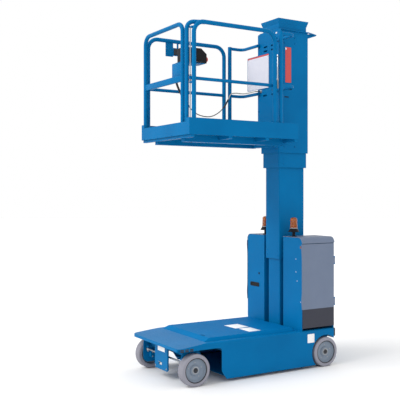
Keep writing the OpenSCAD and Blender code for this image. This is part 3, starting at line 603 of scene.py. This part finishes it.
def tray(size, depth, corner, frame, axis, at):
    """A flat frame with a sunk middle, its underside at a point in millimetres."""
    shape = plate(size, depth, corner)
    edit(shape)
    pick(shape, lambda middle, normal: normal.z > 0.9)
    bpy.ops.mesh.inset(thickness=frame * MM, depth=0)
    bpy.ops.mesh.inset(thickness=1.2 * MM, depth=-(depth - 0.4) * MM)
    close(shape)
    return along(shape, axis, at)


# Wheels
WHEEL_X, AXLE_Y, AXLE_Z = 447.5, 785, 152.5
for end, y in (("front", -AXLE_Y), ("rear", AXLE_Y)):
    for side_name, side in (("left", -1), ("right", 1)):
        body = f"wheel_{end}_{side_name}"
        out = (side, 0, 0)
        # A black rubber ring set in the gap between the rim flange and the tyre: painted shade for the shadowed groove
        # there.
        groove_shade = turned([(109, 0), (117.8, 0), (117.8, 4.2), (115.5, 6.2), (112.5, 6.2), (109, 3)], out,
                      (side * (WHEEL_X + 38), y, AXLE_Z), steps=96)
        piece(groove_shade, f"rim_groove_shade_{end}_{side_name}", body, "black_rubber")
        fold = turned([(95.5, 0), (99.5, 0), (99.5, 2.6), (97.5, 3.6), (95.5, 2.6)], out,
                      (side * (WHEEL_X + 19), y, AXLE_Z), steps=96)
        piece(fold, f"rim_fold_{end}_{side_name}", body, "rim_grey")
        seat = turned([(21.6, 0), (36, 0), (36, 2), (33.5, 3.2), (25, 3.2), (21.6, 2.4)], out,
                      (side * (WHEEL_X + 30), y, AXLE_Z), steps=48)
        piece(seat, f"hub_washer_{end}_{side_name}", body, "zinc_steel")
        cap = turned([(0, 10), (0, 13), (9, 13), (17, 11), (23, 7.5), (24.5, 3), (22, 3), (20.5, 6.5), (15, 9)], out,
                     (side * (WHEEL_X + 30), y, AXLE_Z), steps=48)
        piece(cap, f"hub_cap_{end}_{side_name}", body, "black_rubber")
        ring = [(side * (WHEEL_X + 15.4), y + 74 * math.cos(math.tau * k / 5 + 0.3),
                 AXLE_Z + 74 * math.sin(math.tau * k / 5 + 0.3)) for k in range(5)]
        set_out(hex_bolt(5.5), f"rim_bolts_{end}_{side_name}", body, "zinc_steel", out, ring)

# Nose and chassis
label("nose_label", "chassis", (143, 82), (0, -1, 0), (4, -895, 300))
set_out(hex_bolt(7), "front_plate_bolts", "chassis", "zinc_steel", (0, -1, 0),
        [(x, -895, z) for x in (-112, 112) for z in (102, 318)])
piece(block((-54, -897.6, 147), (22, -893, 152.5), bevel=1.2), "tie_down_lip", "chassis", "zinc_steel")
label("side_label", "chassis", (90, 90), (1, 0, 0), (482, 592, 311))
label("deck_label_a", "chassis", (200, 170), (0, 0, 1), (29, -27, 425), turn=2)
label("deck_label_b", "chassis", (190, 140), (0, 0, 1), (254, -16, 425), turn=-1)
set_out(rivet(9), "deck_panel_screws", "chassis", "blue_paint", (0, 0, 1),
        [(x, y, 425) for x in (-384, 384) for y in (-560, -240, 80, 390)])
louvre = tray((10, 40), 1.2, 4.2, 1.2, (1, 0, 0), (0, 0, 0))
louvre = copies(louvre, [(482, y, z) for y in (-930, -880, -830) for z in (340.5, 354.5)])
piece(louvre, "nose_louvres", "chassis", "black_rubber")
set_out(hex_bolt(8), "buffer_bolts", "chassis", "zinc_steel", (0, 1, 0),
        [(side * x, 918, z) for side in (-1, 1) for x in (394, 442) for z in (343.5,)])
piece(block((172, 467.5, 395.2), (330, 472.6, 402), bevel=1), "cabinet_foot_trim_right", "chassis", "zinc_steel")
piece(block((-330, 467.5, 395.2), (-172, 472.6, 402), bevel=1), "cabinet_foot_trim_left", "chassis", "zinc_steel")
set_out(turned([(0, 0), (5, 0), (5, 4), (3, 6), (3, 9), (4.2, 10.5), (2.5, 12.5), (0, 12.5)], steps=16),
        "kingpin_nipple_right", "knuckle_right", "zinc_steel", (0, 0, 1), [(345.5, -785, 355)])
set_out(turned([(0, 0), (5, 0), (5, 4), (3, 6), (3, 9), (4.2, 10.5), (2.5, 12.5), (0, 12.5)], steps=16),
        "kingpin_nipple_left", "knuckle_left", "zinc_steel", (0, 0, 1), [(-345.5, -785, 355)])
for side_name, side in (("left", -1), ("right", 1)):
    set_out(hex_bolt(11), f"steering_nut_{side_name}", f"knuckle_{side_name}", "zinc_steel", (0, 0, -1),
            [(side * 345.5, -860, 199)])
    set_out(hex_bolt(6), f"hub_motor_bolts_{side_name}", f"knuckle_{side_name}", "zinc_steel", (-side, 0, 0),
            [(side * 346.6, -785 + 30 * math.cos(a), AXLE_Z + 30 * math.sin(a)) for a in (0.8, 2.35, 3.9, 5.5)])

# Cabinets
FRONT_Y, BACK_Y = 473, 896
FACE = (0, -1, 0)
piece(tray((166, 44), 4, 12, 7, FACE, (-347, FRONT_Y, 792)), "cabinet_handle", "chassis", "black_plastic")
lock = joined(turned([(0, 0), (11, 0), (11, 2), (9, 4), (7.5, 4), (7.5, 3), (0, 3)], FACE, (-266, FRONT_Y, 920), steps=28),
              block((-267, FRONT_Y - 3.6, 915), (-265, FRONT_Y - 2.6, 925), bevel=0.3))
piece(lock, "cabinet_lock", "chassis", "black_plastic")
set_out(rivet(4.6), "cabinet_rivets", "chassis", "label_white", FACE,
        [(384, FRONT_Y, 1125), (384, FRONT_Y, 991), (404, FRONT_Y, 900), (462, FRONT_Y, 690)])
set_out(rivet(5), "cabinet_rivets_left", "chassis", "blue_paint", FACE,
        [(-x, FRONT_Y, z) for x in (200, 460) for z in (450, 640, 1040, 1240)])
piece(plate((16, 26), 2.4, 4, FACE, (462, FRONT_Y, 1250), rim=0.8), "side_marker", "chassis", "amber_lens")


def door_lip(side):
    """The door's moulded front edge, which swells low down and at its shoulder and stands past the cabinet's front."""
    obj = block((485.7, 462, 614), (492.2, 475.6, 1281))
    edit(obj)
    bpy.ops.mesh.select_all(action="SELECT")
    bpy.ops.mesh.subdivide(number_cuts=28)
    bpy.ops.object.mode_set(mode="OBJECT")
    for point in obj.data.vertices:
        height = point.co.z / MM
        swell = 5.5 * math.exp(-((height - 700) / 60) ** 2) + 6.5 * math.exp(-((height - 1235) / 70) ** 2)
        front = min(max((475.6 - point.co.y / MM) / 13.6, 0), 1)
        point.co.y += front * (7.0 - swell) * MM
    apply_modifier(obj, "BEVEL", width=1.6 * MM, segments=2, limit_method="ANGLE", angle_limit=math.radians(60))
    if side < 0:
        twin = mirrored(obj)
        bpy.data.objects.remove(obj)
        obj = twin
    return obj


piece(door_lip(1), "door_lip_right", "door_right", "cover_grey")
piece(door_lip(-1), "door_lip_left", "door_left", "cover_grey")


def louvres(count, width, axis, at):
    """A stack of pressed louvres on a plate."""
    shapes = [plate((width + 30, count * 22 + 20), 1.4, 8, rim=0.4)]
    for k in range(count):
        blade = block((-width / 2, 0, 0), (width / 2, 14, 9), bevel=0)
        edit(blade)
        pick(blade, lambda middle, normal: normal.y > 0.9)
        bpy.ops.transform.resize(value=(1, 1, 0.12))
        bpy.ops.transform.translate(value=(0, 0, -3.9 * MM))
        close(blade)
        blade.data.transform(Matrix.Translation(Vector((0, (k - count / 2) * 22 + 4, 1.2)) * MM))
        shapes.append(apply_modifier(blade, "BEVEL", width=0.8 * MM, segments=2, limit_method="NONE"))
    return along(joined(*shapes), axis, at)


for side in (-1, 1):
    hand = "left" if side < 0 else "right"
    piece(louvres(7, 150, (0, 1, 0), (side * 330, BACK_Y, 1080)), f"rear_louvres_{hand}", "chassis", "blue_paint")
    set_out(rivet(5), f"rear_rivets_{hand}", "chassis", "blue_paint", (0, 1, 0),
            [(side * x, BACK_Y, z) for x in (190, 470) for z in (430, 660, 900, 1290)])
inlet = joined(plate((76, 76), 4, 9, (0, 1, 0), (-330, BACK_Y, 560), rim=1),
               turned([(0, 4), (0, 12), (17, 12), (19, 14), (24, 14), (27, 11), (27, 4)], (0, 1, 0), (-330, BACK_Y, 560)))
piece(inlet, "charging_inlet", "chassis", "black_plastic")
set_out(hex_bolt(3.6), "inlet_screws", "chassis", "zinc_steel", (0, 1, 0),
        [(-330 + dx, BACK_Y + 4, 560 + dz) for dx in (-29, 29) for dz in (-29, 29)])
knob = turned([(0, 0), (18, 0), (18, 3), (9, 4), (8, 16), (17, 19), (19, 24), (16, 30), (0, 31)], (0, 1, 0),
              (330, BACK_Y, 560), steps=30)
piece(knob, "lowering_knob", "chassis", "red_plastic")

# Beacons
LENS_Z = 1435
profile = [(0, 0), (39, 0)]
for k in range(10):
    profile += [(39 - 0.28 * k, 8 + 8 * k), (37.2 - 0.28 * k, 12 + 8 * k)]
profile += [(36, 90), (34.2, 97), (30, 104), (24.5, 109.5), (17, 113.4), (8, 115.5), (0, 116)]
lens = turned(profile, at=(0, 0, 0), steps=48)
lens = set_out(lens, "beacon_domes", "chassis", "amber_lens", (0, 0, 1), [(x, 550, LENS_Z) for x in (-250, 250)])
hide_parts("beacon_lenses")
set_out(turned([(38.6, 0), (43.5, 0), (43.5, 4), (41.5, 6.5), (39.6, 6.5), (38.6, 5)], steps=48), "beacon_rings",
        "chassis", "zinc_steel", (0, 0, 1), [(x, 550, LENS_Z - 1) for x in (-250, 250)])
set_out(rivet(4), "beacon_screws", "chassis", "zinc_steel", (0, 0, 1),
        [(x + 26 * math.cos(a), 550 + 26 * math.sin(a), 1355) for x in (-250, 250) for a in (0.5, 2.6, 4.7)])

# Mast and carriage
set_out(rivet(8), "middle_stage_screws", "mast_middle", "blue_paint", (0, -1, 0),
        [(x, 457.5, z) for x in (-86, 86) for z in (1140, 1190, 2600, 2650)])
set_out(rivet(7), "middle_stage_side_screws", "mast_middle", "blue_paint", (1, 0, 0),
        [(121.5, y, z) for y in (505, 735) for z in (1140, 1190)])
set_out(rivet(7), "upper_stage_screws", "mast_upper", "blue_paint", (1, 0, 0),
        [(143, y, z) for y in (500, 740) for z in (2110, 2170)])
set_out(rivet(8), "fixed_stage_screws", "chassis", "blue_paint", (0, -1, 0),
        [(x, 479, z) for x in (-76, 76) for z in (450, 520)])
set_out(hex_bolt(9), "bracket_bolts", "mast_upper", "blue_paint", (0, -1, 0),
        [(190, 414, z) for z in (2560, 2700, 3300, 3440)] + [(-192, 414, z) for z in (2560, 2700)])
set_out(hex_bolt(8), "carriage_side_bolts", "mast_upper", "blue_paint", (1, 0, 0),
        [(158, y, z) for y in (500, 640) for z in (2300, 2360, 3400, 3460)])
# Two black slot marks on the carriage side: painted shadow where the mid rail shades the carriage.
for name, size, y, z in (("carriage_shadow_slot_a", (11, 96), 546, 2910), ("carriage_shadow_slot_b", (11, 58), 526, 2826)):
    piece(tray(size, 1.4, 5, 1.6, (1, 0, 0), (158, y, z)), name, "mast_upper", "black_plastic")
label("head_tag", "mast_upper", (26, 15), (0, -1, 0), (128, 414, 3500))
label("marker_tag", "mast_upper", (20, 18), (1, 0, 0), (160, 516, 3338))
rod = turned([(0, 0), (6, 0), (7.5, 2), (7.5, 268), (6, 271), (0, 271)], at=(169, 402, 2991), steps=24)
piece(rod, "latch_rod", "mast_upper", "bright_steel")
fork = joined(turned([(0, 0), (14, 0), (15, 1.5), (15, 24), (13, 27), (0, 27)], at=(169, 402, 2984), steps=28),
              block((157, 393, 2874), (163, 413.6, 2988), bevel=1.2), block((175, 393, 2874), (181, 413.6, 2988), bevel=1.2),
              turned([(0, 0), (5, 0), (5, 30), (0, 30)], (1, 0, 0), (154, 402, 2890), steps=16),
              block((159, 393, 3236), (179, 413.6, 3248), bevel=1.2))
piece(fork, "latch_fork", "mast_upper", "zinc_steel")
strip = plate((396, 16), 0.6, 5, (0, -1, 0), (-200, 410, 3294), rim=0.2)
piece(strip, "board_red_strip", "mast_upper", "red_marker")
edge = tube([(-399, 410.5, 2944), (-399, 410.5, 3297), (-392, 410.5, 3304), (-8, 410.5, 3304), (-1, 410.5, 3297),
             (-1, 410.5, 2944), (-8, 410.5, 2937), (-392, 410.5, 2937), (-399, 410.5, 2944)], 2.2)
piece(as_mesh(edge), "board_edge", "mast_upper", "blue_paint", smooth=60)
set_out(rivet(4.5), "board_rivets", "mast_upper", "zinc_steel", (0, -1, 0),
        [(x, 410, z) for x in (-386, -14) for z in (2950, 3274)])

# Platform
RAIL_Y, RAIL_TOP, FLOOR_Z = -836, 3414, 2370
POSTS = [(467.5, -797), (467.5, 140), (467.5, 216), (-467.5, -797), (-467.5, 140), (-467.5, 216),
         (401.5, RAIL_Y), (325, RAIL_Y), (-451, RAIL_Y)]
frame_path = bent([(-451, RAIL_Y, FLOOR_Z), (-451, RAIL_Y, RAIL_TOP), (325, RAIL_Y, RAIL_TOP), (325, RAIL_Y, FLOOR_Z)], 88)
brace_path = bent([(401.5, RAIL_Y, FLOOR_Z), (401.5, RAIL_Y, RAIL_TOP - 1), (464, -674, RAIL_TOP - 1)], 66)
front_frame = joined(as_mesh(tube(frame_path, 21, 8)), as_mesh(tube(brace_path, 20.5, 8)),
                     block((-451, RAIL_Y - 12, 2862), (325, RAIL_Y + 12, 2922), bevel=4, segments=3))
piece(front_frame, "front_frame", "mast_upper", "blue_paint")
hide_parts("front_rail")
hanger = joined(block((-470.5, -593, 3250), (-464.5, -503, 3408), bevel=1.2),
                block((-473, -593, 3318), (-464, -503, 3326), bevel=1.5),
                block((-470.5, -504, 3262), (-464.5, -438, 3346), bevel=1.2),
                block((-470.5, -458, 3345), (-464.5, -438, 3408), bevel=1.2))
piece(hanger, "side_hanger", "mast_upper", "blue_paint")
pad = plate((52, 66), 6, 8, (1, 0, 0), (-464.5, -471, 3304), turn=90, rim=1.5)
piece(pad, "hanger_pad", "mast_upper", "black_rubber")
bracket = joined(block((93, -823.8, 2892), (340, -818, 3058), bevel=1.4),
                 block((165, -823.8, 3053), (300, -573, 3059.8), bevel=1.2),
                 block((165, -823.8, 3050), (171, -700, 3054), bevel=1), block((294, -823.8, 3050), (300, -700, 3054), bevel=1))
piece(bracket, "control_shelf", "mast_upper", "blue_paint")
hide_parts("control_bracket")
collar = turned([(11.05, 0), (11.9, 0.4), (11.9, 13), (11.05, 13.4)], steps=28)
set_out(collar, "gate_collars", "entry_gate", "zinc_steel", (0, 0, 1),
        [(425.5, y, z) for y in (-813, 176) for z in (2856, 2900.6)])
for side in (-1, 1):
    gusset = block((side * 115 - 3, 812, 3474), (side * 115 + 3, 962, 3532.6))
    edit(gusset)
    pick(gusset, lambda middle, normal: normal.y > 0.9)
    bpy.ops.transform.resize(value=(1, 1, 0.1))
    bpy.ops.transform.translate(value=(0, 0, 26.4 * MM))
    close(gusset)
    piece(apply_modifier(gusset, "BEVEL", width=0.8 * MM, segments=2), f"top_gusset_{'left' if side < 0 else 'right'}",
          "mast_upper", "blue_paint")
weld = turned([(20.5, 0), (23.8, 0), (23.4, 1.2), (21.8, 3.4), (20.5, 4.4)], steps=32)
set_out(weld, "post_welds", "mast_upper", "blue_paint", (0, 0, 1), [(x, y, 2370) for x, y in POSTS])
set_out(rivet(7), "toe_board_rivets", "mast_upper", "blue_paint", (0, -1, 0),
        [(x, -861, z) for x in (-440, -150, 150, 440) for z in (2362,)])
bpy.ops.object.select_all(action="DESELECT")
bpy.ops.mesh.primitive_circle_add(vertices=4, radius=0.013, fill_type="NGON")
stud = bpy.context.object
stud.scale = (1, 0.34, 1)
settle(stud)
edit(stud)
bpy.ops.mesh.select_all(action="SELECT")
bpy.ops.mesh.extrude_region_move(TRANSFORM_OT_translate={"value": (0, 0, 0.0014)})
bpy.ops.transform.resize(value=(0.72, 0.72, 1))
close(stud)
places, turns = [], []
for i in range(23):
    for j in range(32):
        places.append((-385 + 35 * i, -786 + 36.5 * j, 2370))
        turns.append(Matrix.Rotation(math.radians(45 if (i + j) % 2 else -45), 4, "Z"))
piece(copies(stud, places, turns), "floor_tread", "mast_upper", "floor_plate", smooth=10)

# Control box
BOX_TOP = 3200
housing = block((160, -803, 3060), (300, -553, BOX_TOP))
edit(housing)
bpy.ops.mesh.select_all(action="SELECT")
bpy.ops.mesh.bisect(plane_co=(0.2, -0.613, 3.2), plane_no=(0, 0.05, 0.06), use_fill=True, clear_outer=True)
close(housing)
apply_modifier(housing, "BEVEL", width=4 * MM, segments=3, limit_method="ANGLE", angle_limit=math.radians(30))
seam = tray((132, 242), 2, 8, 3, (0, 0, -1), (230, -678, 3061))
housing = joined(housing, seam)
piece(housing, "control_housing", "mast_upper", "black_plastic")
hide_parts("control_box")
boot = [(0, 0), (31, 0)]
for k in range(5):
    boot += [(30 - 4.4 * k, 3 + 6 * k), (26 - 4.4 * k, 6 + 6 * k)]
boot += [(7.5, 34), (7.2, 38), (0, 38)]
piece(turned(boot, at=(200, -752, BOX_TOP)), "joystick_boot", "mast_upper", "black_rubber")
grip = turned([(0, 0), (7.2, 0), (12, 8), (14.2, 14), (14, 32), (11.5, 39), (6, 42.5), (0, 43)], at=(200, -752, BOX_TOP + 34))
piece(grip, "joystick_grip", "mast_upper", "black_plastic")
piece(tray((54, 128), 2, 6, 3, (0, 0, 1), (264, -730, BOX_TOP)), "control_panel", "mast_upper", "black_plastic")
rocker = block((253, -784, BOX_TOP + 0.8), (275, -762, BOX_TOP + 9), bevel=2.5, segments=3)
piece(rocker, "rocker_switch", "mast_upper", "black_rubber")
key = joined(turned([(0, 0), (12, 0), (12, 3), (10, 5), (7, 5), (6.5, 4), (0, 4)], at=(264, -734, BOX_TOP + 0.6), steps=28),
             block((262.8, -739, BOX_TOP + 3), (265.2, -729, BOX_TOP + 12), bevel=0.6))
piece(key, "key_switch", "mast_upper", "zinc_steel")
button = turned([(0, 0), (9, 0), (9, 3), (7.5, 4), (7, 6.5), (0, 7)], steps=24)
set_out(button, "push_buttons", "mast_upper", "board_white", (0, 0, 1),
        [(264, y, BOX_TOP + 0.6) for y in (-704, -682)])
set_out(hex_bolt(3.2), "control_box_screws", "mast_upper", "zinc_steel", (0, 0, 1),
        [(x, y, BOX_TOP) for x in (168, 292) for y in (-795, -626)])
set_out(turned([(0, 0), (26, 0), (26, 2), (24, 3.4), (11, 3.4), (0, 3.4)], steps=36), "stop_knob_ring", "mast_upper",
        "black_rubber", (0, 1, 0), [(230, -553, 3110)])
mushroom = turned([(0, 0), (11, 0), (11, 21), (13, 23.5), (22, 24.5), (26, 27), (27, 32), (25.5, 38), (21, 43), (13, 46.5),
                   (0, 47.5)], (0, 1, 0), (230, -553, 3110), steps=40)
piece(mushroom, "stop_knob_head", "mast_upper", "red_plastic")
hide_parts("stop_knob")
gland = joined(hex_bolt(14.5), turned([(0, 8), (9.6, 8), (9.6, 12), (5.8, 26), (0, 26)], steps=24))
piece(along(gland, (-1, 0, 0), (160, -760, 3090)), "box_gland", "mast_upper", "black_plastic")
end_gland = joined(hex_bolt(15), turned([(0, 8), (9, 8), (9, 10), (0, 11)], steps=24))
piece(along(end_gland, (0, -1, 0), (-150, 414, 2912)), "carriage_gland", "mast_upper", "zinc_steel")

# ---- Floor, sky and light ----
bpy.ops.object.select_all(action="DESELECT")
bpy.ops.mesh.primitive_circle_add(vertices=96, radius=45, fill_type="NGON", location=(0, 0, 0))
ground = bpy.context.object
ground.name = "studio_floor"
ground.data.materials.append(studio_floor("studio_floor"))

scene = bpy.context.scene
scene.view_settings.view_transform = "Standard"
world = bpy.data.worlds.new("studio")
scene.world = world
world.use_nodes = True
sky = world.node_tree.nodes["Background"]
sky.inputs["Color"].default_value = (1, 1, 1, 1)
sky.inputs["Strength"].default_value = 1.0


def lamp(name, turn, strength, spread):
    """A soft sun from above, turned by degrees about X and Z."""
    bpy.ops.object.select_all(action="DESELECT")
    bpy.ops.object.light_add(type="SUN", rotation=(math.radians(turn[0]), 0, math.radians(turn[1])))
    light = bpy.context.object
    light.name = name
    light.data.energy = strength
    light.data.angle = math.radians(spread)


lamp("key_light", (48, -8), 1.6, 40)
